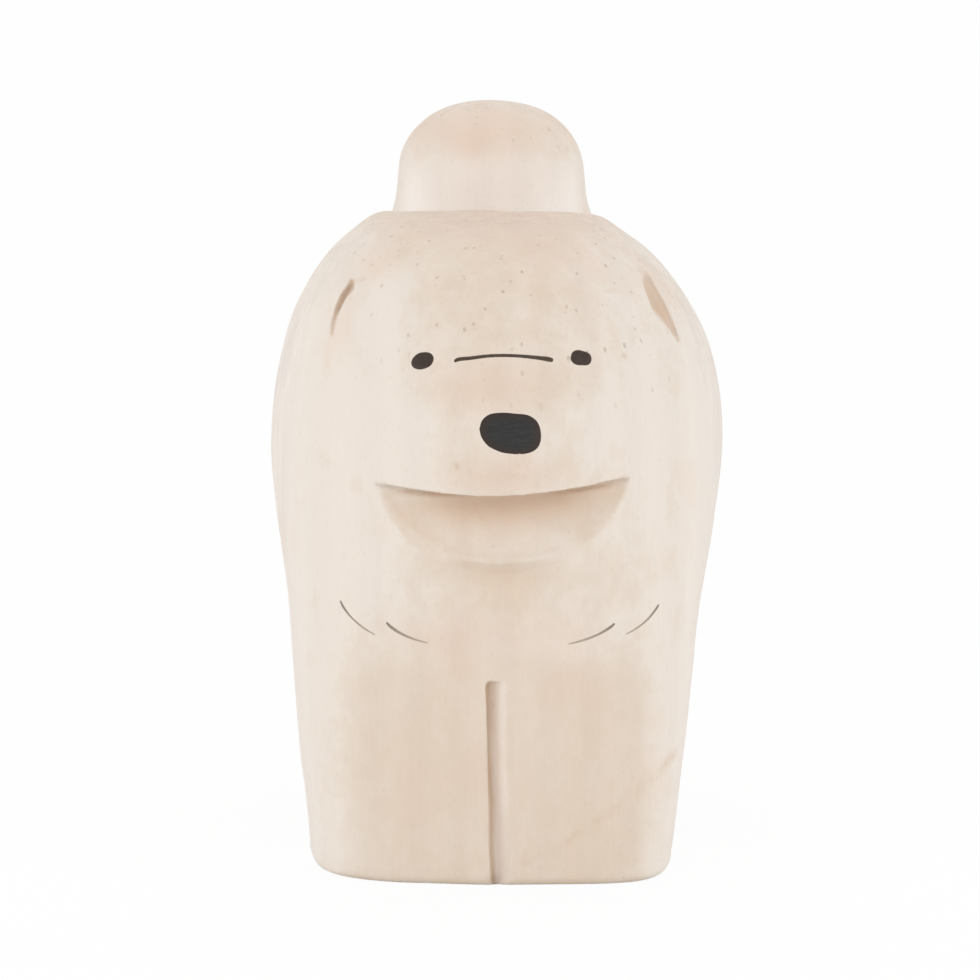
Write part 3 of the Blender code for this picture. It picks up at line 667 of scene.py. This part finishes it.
# Broad tones, with painted light on the flanks and painted shade on the shins and along the crown's top edge
sides = ramp(np.abs(normals[:, 0]), 0.15, 0.5)
shaded_shins = ramp(py, 640, 40) * ramp(np.abs(px - 497), 172, -40) * facing
crown_shade = lobe(px, py, 497, 222, 125, 20) * seen
ledge = lobe(px, py, 500, 544, 60, 16)
pale = 0.45 * patches(px, py, PALE_PATCHES) + 0.30 * ledge - 0.42 * patches(px, py, TAN_SHADE_PATCHES)
set_attribute(body_mesh, "pale", 0.50 * sides + pale * front - 0.34 * shaded_shins - 0.45 * crown_shade)
set_attribute(body_mesh, "grain", 1 - front)
set_attribute(body_mesh, "calm", np.maximum(0.5 * shaded_shins, 0.55 * (1 - front)))
set_attribute(body_mesh, "blush", 0.62 * patches(px, py, ROSY_PATCHES) * front + 0.75 * crown_shade)
set_attribute(body_mesh, "speck", 0.8 * np.clip(patches(px, py, SPECKLED_PATCHES), 0, 1) * front)

# The mouth, with painted shade under the lip, inside the cut and under the chin
lip = follow(px, LIP)
below = np.maximum(py - lip, 0)
mouth = ramp(normals[:, 2], 0.12, 0.2) * (py > lip - 2) * (py < 572) * (np.abs(px - 503) < 134) * front
lip_shadow = hill(below, 0, 17 + 16 * hill(px, 500, 60)) * ramp(np.abs(px - 507), 112, -60)
lip_crease_shadow = hill(below, 0, 5)
mouth_warm_shade = 0.05 + 0.30 * (0.50 + 0.50 * hill(px, 503, 62)) * hill(below, 0, 32)
mouth_warm_shade += 0.16 * lobe(px, py, 412, 512, 36, 24)
beside = np.abs(px - 502.5)
lip_shadow_line = hill(py, lip + 1.2, 2.0) * (beside < 127) * ramp(beside, 20, 70)
to_chin = follow(px, CHIN) - py
chin_rim_shade = smoothstep(to_chin / 3) * hill(np.maximum(to_chin, 0), 0, 16) * ramp(px, 470, -40) * (py > lip + 2)
throat_shade = lobe(px, py, 503, 572, 54, 16) * ramp(py, 557, 8)

# The ears, with painted shade in their cuts
left_ear = in_leaf(px, py, sunk * front, LEFT_EAR)
right_ear = in_leaf(px, py, sunk * front, RIGHT_EAR)
ear_foot = ramp(py, 305, 20)
ear_edge = hill(near_path(px, py, RIGHT_EAR_EDGE), 0, 2.0)

# The lines between the legs, with painted shade in the grooves and painted light on the groove's right wall
groove = front * (np.abs(px - 497) < 17) * ramp(py, 680, 5)
low = ramp(py, 770, 60)
leg_line = hill(px, follow(py, LEG_LINE), 2.6) * groove * (1 - 0.2 * low)
warm_wall = hill(px, 497.5 + 0.018 * (py - 780), 4.0) * groove
long_wall = groove * ramp(-normals[:, 0], 0.12, 0.3)
groove_end = lobe(px, py, 493, 880, 5, 5) * groove
lit_wall = (0.60 + 0.25 * low) * hill(px, 499.5, 5.0) * groove
hind_line = sunk * (np.abs(points[:, 0]) < 1.8 * MM) * ramp(points[:, 1], 24 * MM, 2 * MM)
hind_line *= ramp(points[:, 2], 22.5 * MM, -MM)

# Tones of the cuts: painted shade in the cuts and hollows, painted light on the groove's wall and a painted
# sheen on the flanks, a painted highlight on the groove's rim, lighter rubbed edges, and brown flecks
peach_shade = mouth * mouth_warm_shade + 0.15 * under * facing + 0.10 * long_wall + 0.30 * warm_wall
peach_shade += (0.40 * right_ear * (1 - 0.6 * ear_foot) + 0.22 * chin_rim_shade) * front
set_attribute(body_mesh, "peach_shade", peach_shade)
depth = mouth * np.maximum(0.66 * lip_shadow, 0.62 * lip_crease_shadow) + 0.26 * throat_shade * facing
depth += front * (0.72 * left_ear + (0.68 - 0.20 * ear_foot) * right_ear) + 0.85 * leg_line + 0.60 * hind_line
set_attribute(body_mesh, "depth", np.clip(depth, 0, 1))
in_cut = cut * (1 - groove) + 0.40 * hind_line**3 + 0.62 * leg_line + 0.6 * groove_end
in_ears = 0.48 * left_ear + right_ear * (0.05 + 0.60 * ear_edge)
set_attribute(body_mesh, "cut", np.maximum(in_cut, front * (in_ears + 0.55 * lip_shadow_line)))
proud *= 1 - front * ramp(np.abs(px - 503), 84, -20) * lobe(px, py, 503, 558, 200, 20)
set_attribute(body_mesh, "edge", np.maximum(0.9 * hill(px, 503.5, 3.0) * groove, proud))
flank_sheen = 0.30 * ramp(np.abs(normals[:, 0]), 0.80, 0.15) * (1 - groove)
set_attribute(body_mesh, "painted_light", np.maximum(lit_wall, flank_sheen))
broken = np.clip(0.5 + 0.5 * ripple(points, 2.2 * MM, 31), 0, 1)
flecks = 0.9 * hill(near_path(px, py, VEIN), 0, 2.4) * (0.25 + 0.75 * broken)
flecks += 0.5 * hill(near_path(px, py, LEFT_EAR_HOOK), 0, 1.8) + patches(px, py, BROWN_FLECKS)
set_attribute(body_mesh, "fleck", np.clip(flecks, 0, 1) * front)

body_mesh = thinned(body_mesh, BODY_TRIANGLES)
body_piece = new_object("body_carved", body_mesh)
wear(body_piece, wood("body_wood", (0.0, 11.3, 0.0), CREAM, TAN, BLUSH), "body_wood", "body")
body_tree = tree_of(body_mesh)

# The tail
tail_mesh = remeshed("tail", welded("tail"), VOXEL)
points = points_of(tail_mesh)
sand(tail_mesh, close_to("body", points, SEAM_REACH))
points = points_of(tail_mesh)
normals = normals_of(tail_mesh)
px, py = to_picture(points)
above = ramp(points[:, 2], points[:, 2].min(), 9 * MM)
uneven = 0.05 * ripple(points, 8 * MM, 21) + 0.025 * ripple(points, 3 * MM, 22)
set_points(tail_mesh, points + normals * (uneven * above * MM)[:, None])
# Painted shade in the tail's hollows and rubbed wear on its edges; painted light makes it paler and whiter
# towards its foot, and painted shade makes it darker and rosier at its top
cut, proud = relief(tail_mesh)
set_attribute(tail_mesh, "cut", cut)
set_attribute(tail_mesh, "edge", proud)
set_attribute(tail_mesh, "grain", ramp(normals[:, 1], -0.4, 0.4))
set_attribute(tail_mesh, "pale", 0.75 * ramp(py, 125, 60) - 0.1)
set_attribute(tail_mesh, "blush", 0.75 * lobe(px, py, 485, 128, 65, 24))
set_attribute(tail_mesh, "painted_light", 0.80 * ramp(py, 145, 50) * ramp(-normals[:, 1], 0.25, 0.4))
tail_piece = new_object("tail_carved", tail_mesh)
wear(tail_piece, wood("tail_wood", (21.7, 5.9, 0.0), TAIL_CREAM, TAIL_TAN, BLUSH), "tail_wood", "tail")

# The hidden peg keeps its solid
peg = wood("peg_wood", (3.1, 8.2, 0.0), PEG_CREAM, PEG_TAN, PEG_BLUSH)
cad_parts["tail_dowel"].data.materials.clear()
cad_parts["tail_dowel"].data.materials.append(peg.material)

# Nose, eyes and brow
nose_outline = along(
    [
        (479, 429), (482, 420), (490, 414), (503, 412.5), (516, 413.5), (528, 415), (537, 421),
        (541, 431), (540.5, 443), (535, 450.5), (525, 454), (511, 454), (498, 451.5), (488, 446),
        (481.5, 438), (479, 429),
    ],
    61,
)[:-1]
nose_outline = nose_outline.mean(0) + 1.05 * (nose_outline - nose_outline.mean(0))
nose = dab("nose_paint", body_tree, nose_outline, NOSE_RISE, 12)
wear(nose, brushed("nose_paint", NOSE_BLACK, NOSE_RIM, 0.55), "nose_paint", "nose")
eye_paint = brushed("eye_paint", EYE_BLACK, EYE_RIM, 0.55)
for side, place, size, tilt, seed in (
    ("left", (422.5, 360.8), (24.5, 18.0), 20, 5),
    ("right", (581, 358), (23, 16.5), -19, 8),
):
    eye = dab(side + "_eye_paint", body_tree, rounded(place, *size, 2.1, tilt, 0.5, seed), EYE_RISE)
    wear(eye, eye_paint, "eye_paint", side + "_eye")
brow_rows = [
    (454, 362, 3.4), (458.5, 359.4, 4.8), (470, 358.2, 4.5), (488, 356.0, 4.1), (505, 355.5, 4.0),
    (522, 356.2, 4.2), (538, 357.8, 4.9), (548, 359.2, 6.0), (553.5, 360.6, 5.2),
]
brow = line("brow_ink", body_tree, brow_rows, BROW_RISE, 61)
wear(brow, inked("brow_ink", BROW_DARK, BROW_PALE), "brow_ink", "brow_line")
set_attribute(brow.data, "run", np.full(len(brow.data.vertices), BROW_FADE))

# Fur strokes, each drawn from its upper end: x, y and width in pixels
fur_ink = inked("fur_ink", FUR_DARK, FUR_PALE)
strokes = {
    "fur_stroke_left_outer": (
        (340, 600, 2.2), (344, 608, 2.9), (352, 618, 2.3), (363, 627.5, 2.4), (376, 635.5, 1.7),
    ),
    "fur_stroke_left_inner": (
        (386, 622, 2.6), (391, 627, 4.0), (400, 633, 3.7), (412, 638.5, 3.0), (429, 643.5, 1.6),
    ),
    "fur_stroke_right_inner": (
        (615, 623, 2.6), (610, 627.5, 3.8), (598, 634.5, 2.9), (584, 640, 2.9), (567, 644.5, 1.6),
    ),
    "fur_stroke_right_outer": (
        (659, 604, 2.2), (655, 610.5, 2.8), (647, 620, 2.5), (637, 628, 2.4), (625, 635, 1.4),
    ),
}
for node, rows in strokes.items():
    wear(line(node + "_ink", body_tree, rows, FUR_RISE, 41), fur_ink, "fur_ink", node)

# Floor, light and camera
FLOOR_HALF = 4.0
FLOOR_GLOW = 0.95
floor_nodes = Nodes("floor")
floor_nodes.shader.inputs["Base Color"].default_value = (0.93, 0.93, 0.925, 1.0)
floor_nodes.shader.inputs["Roughness"].default_value = 0.9
glow = floor_nodes.add("Emission")
glow.inputs["Color"].default_value = (1.0, 1.0, 1.0, 1.0)
glow.inputs["Strength"].default_value = 1.0
blend = floor_nodes.add("MixShader")
rays = floor_nodes.add("LightPath")
direct = floor_nodes.math("MAXIMUM", rays.outputs["Is Camera Ray"], rays.outputs["Is Glossy Ray"])
direct = floor_nodes.math("MAXIMUM", direct, rays.outputs["Is Transmission Ray"])
floor_nodes.put(blend.inputs[0], floor_nodes.math("MULTIPLY", direct, FLOOR_GLOW))
floor_nodes.put(blend.inputs[1], floor_nodes.shader.outputs[0])
floor_nodes.put(blend.inputs[2], glow.outputs[0])
floor_nodes.put(floor_nodes.tree.nodes["Material Output"].inputs["Surface"], blend.outputs[0])
floor_corners = [(x * FLOOR_HALF, y * FLOOR_HALF, 0) for x, y in ((-1, -1), (1, -1), (1, 1), (-1, 1))]
floor = new_object("floor", mesh_of("floor", floor_corners, [(0, 1, 2, 3)]))
floor.data.materials.append(floor_nodes.material)

world = bpy.data.worlds.new("studio")
bpy.context.scene.world = world
world.use_nodes = True
sky = world.node_tree.nodes["Background"]
sky.inputs["Color"].default_value = (1.0, 0.995, 0.985, 1.0)
sky.inputs["Strength"].default_value = 0.495


def softbox(name, place, size, power, aim=(0.0, 0.0, 0.04), colour=(1.0, 0.985, 0.965)):
    lamp = bpy.data.lights.new(name, "AREA")
    lamp.shape = "RECTANGLE"
    lamp.size, lamp.size_y = size
    lamp.energy = power
    lamp.color = colour
    made = new_object(name, lamp)
    made.location = place
    made.rotation_euler = (Vector(aim) - Vector(place)).to_track_quat("-Z", "Y").to_euler()


softbox("left_softbox", (-0.66, -0.32, 0.17), (0.50, 0.60), 2.27)
softbox("right_softbox", (0.66, -0.32, 0.17), (0.50, 0.60), 2.18)
softbox("front_softbox", (0.0, -0.85, 0.40), (0.60, 0.50), 0.87)
softbox("top_softbox", (0.0, 0.22, 0.75), (0.70, 0.70), 1.76)
softbox("back_softbox", (0.0, 0.85, 0.40), (0.60, 0.50), 0.80)

camera = bpy.data.cameras.new("camera")
camera.sensor_fit = "HORIZONTAL"
camera.sensor_width = SENSOR_MM
camera.lens = SENSOR_MM * FOCAL_PX / FRAME_PX
camera.clip_start = 0.01
camera_object = new_object("camera", camera)
camera_object.location = EYE
camera_object.rotation_euler = AHEAD.to_track_quat("-Z", "Y").to_euler()
bpy.context.scene.camera = camera_object
bpy.context.scene.view_settings.view_transform = "Standard"
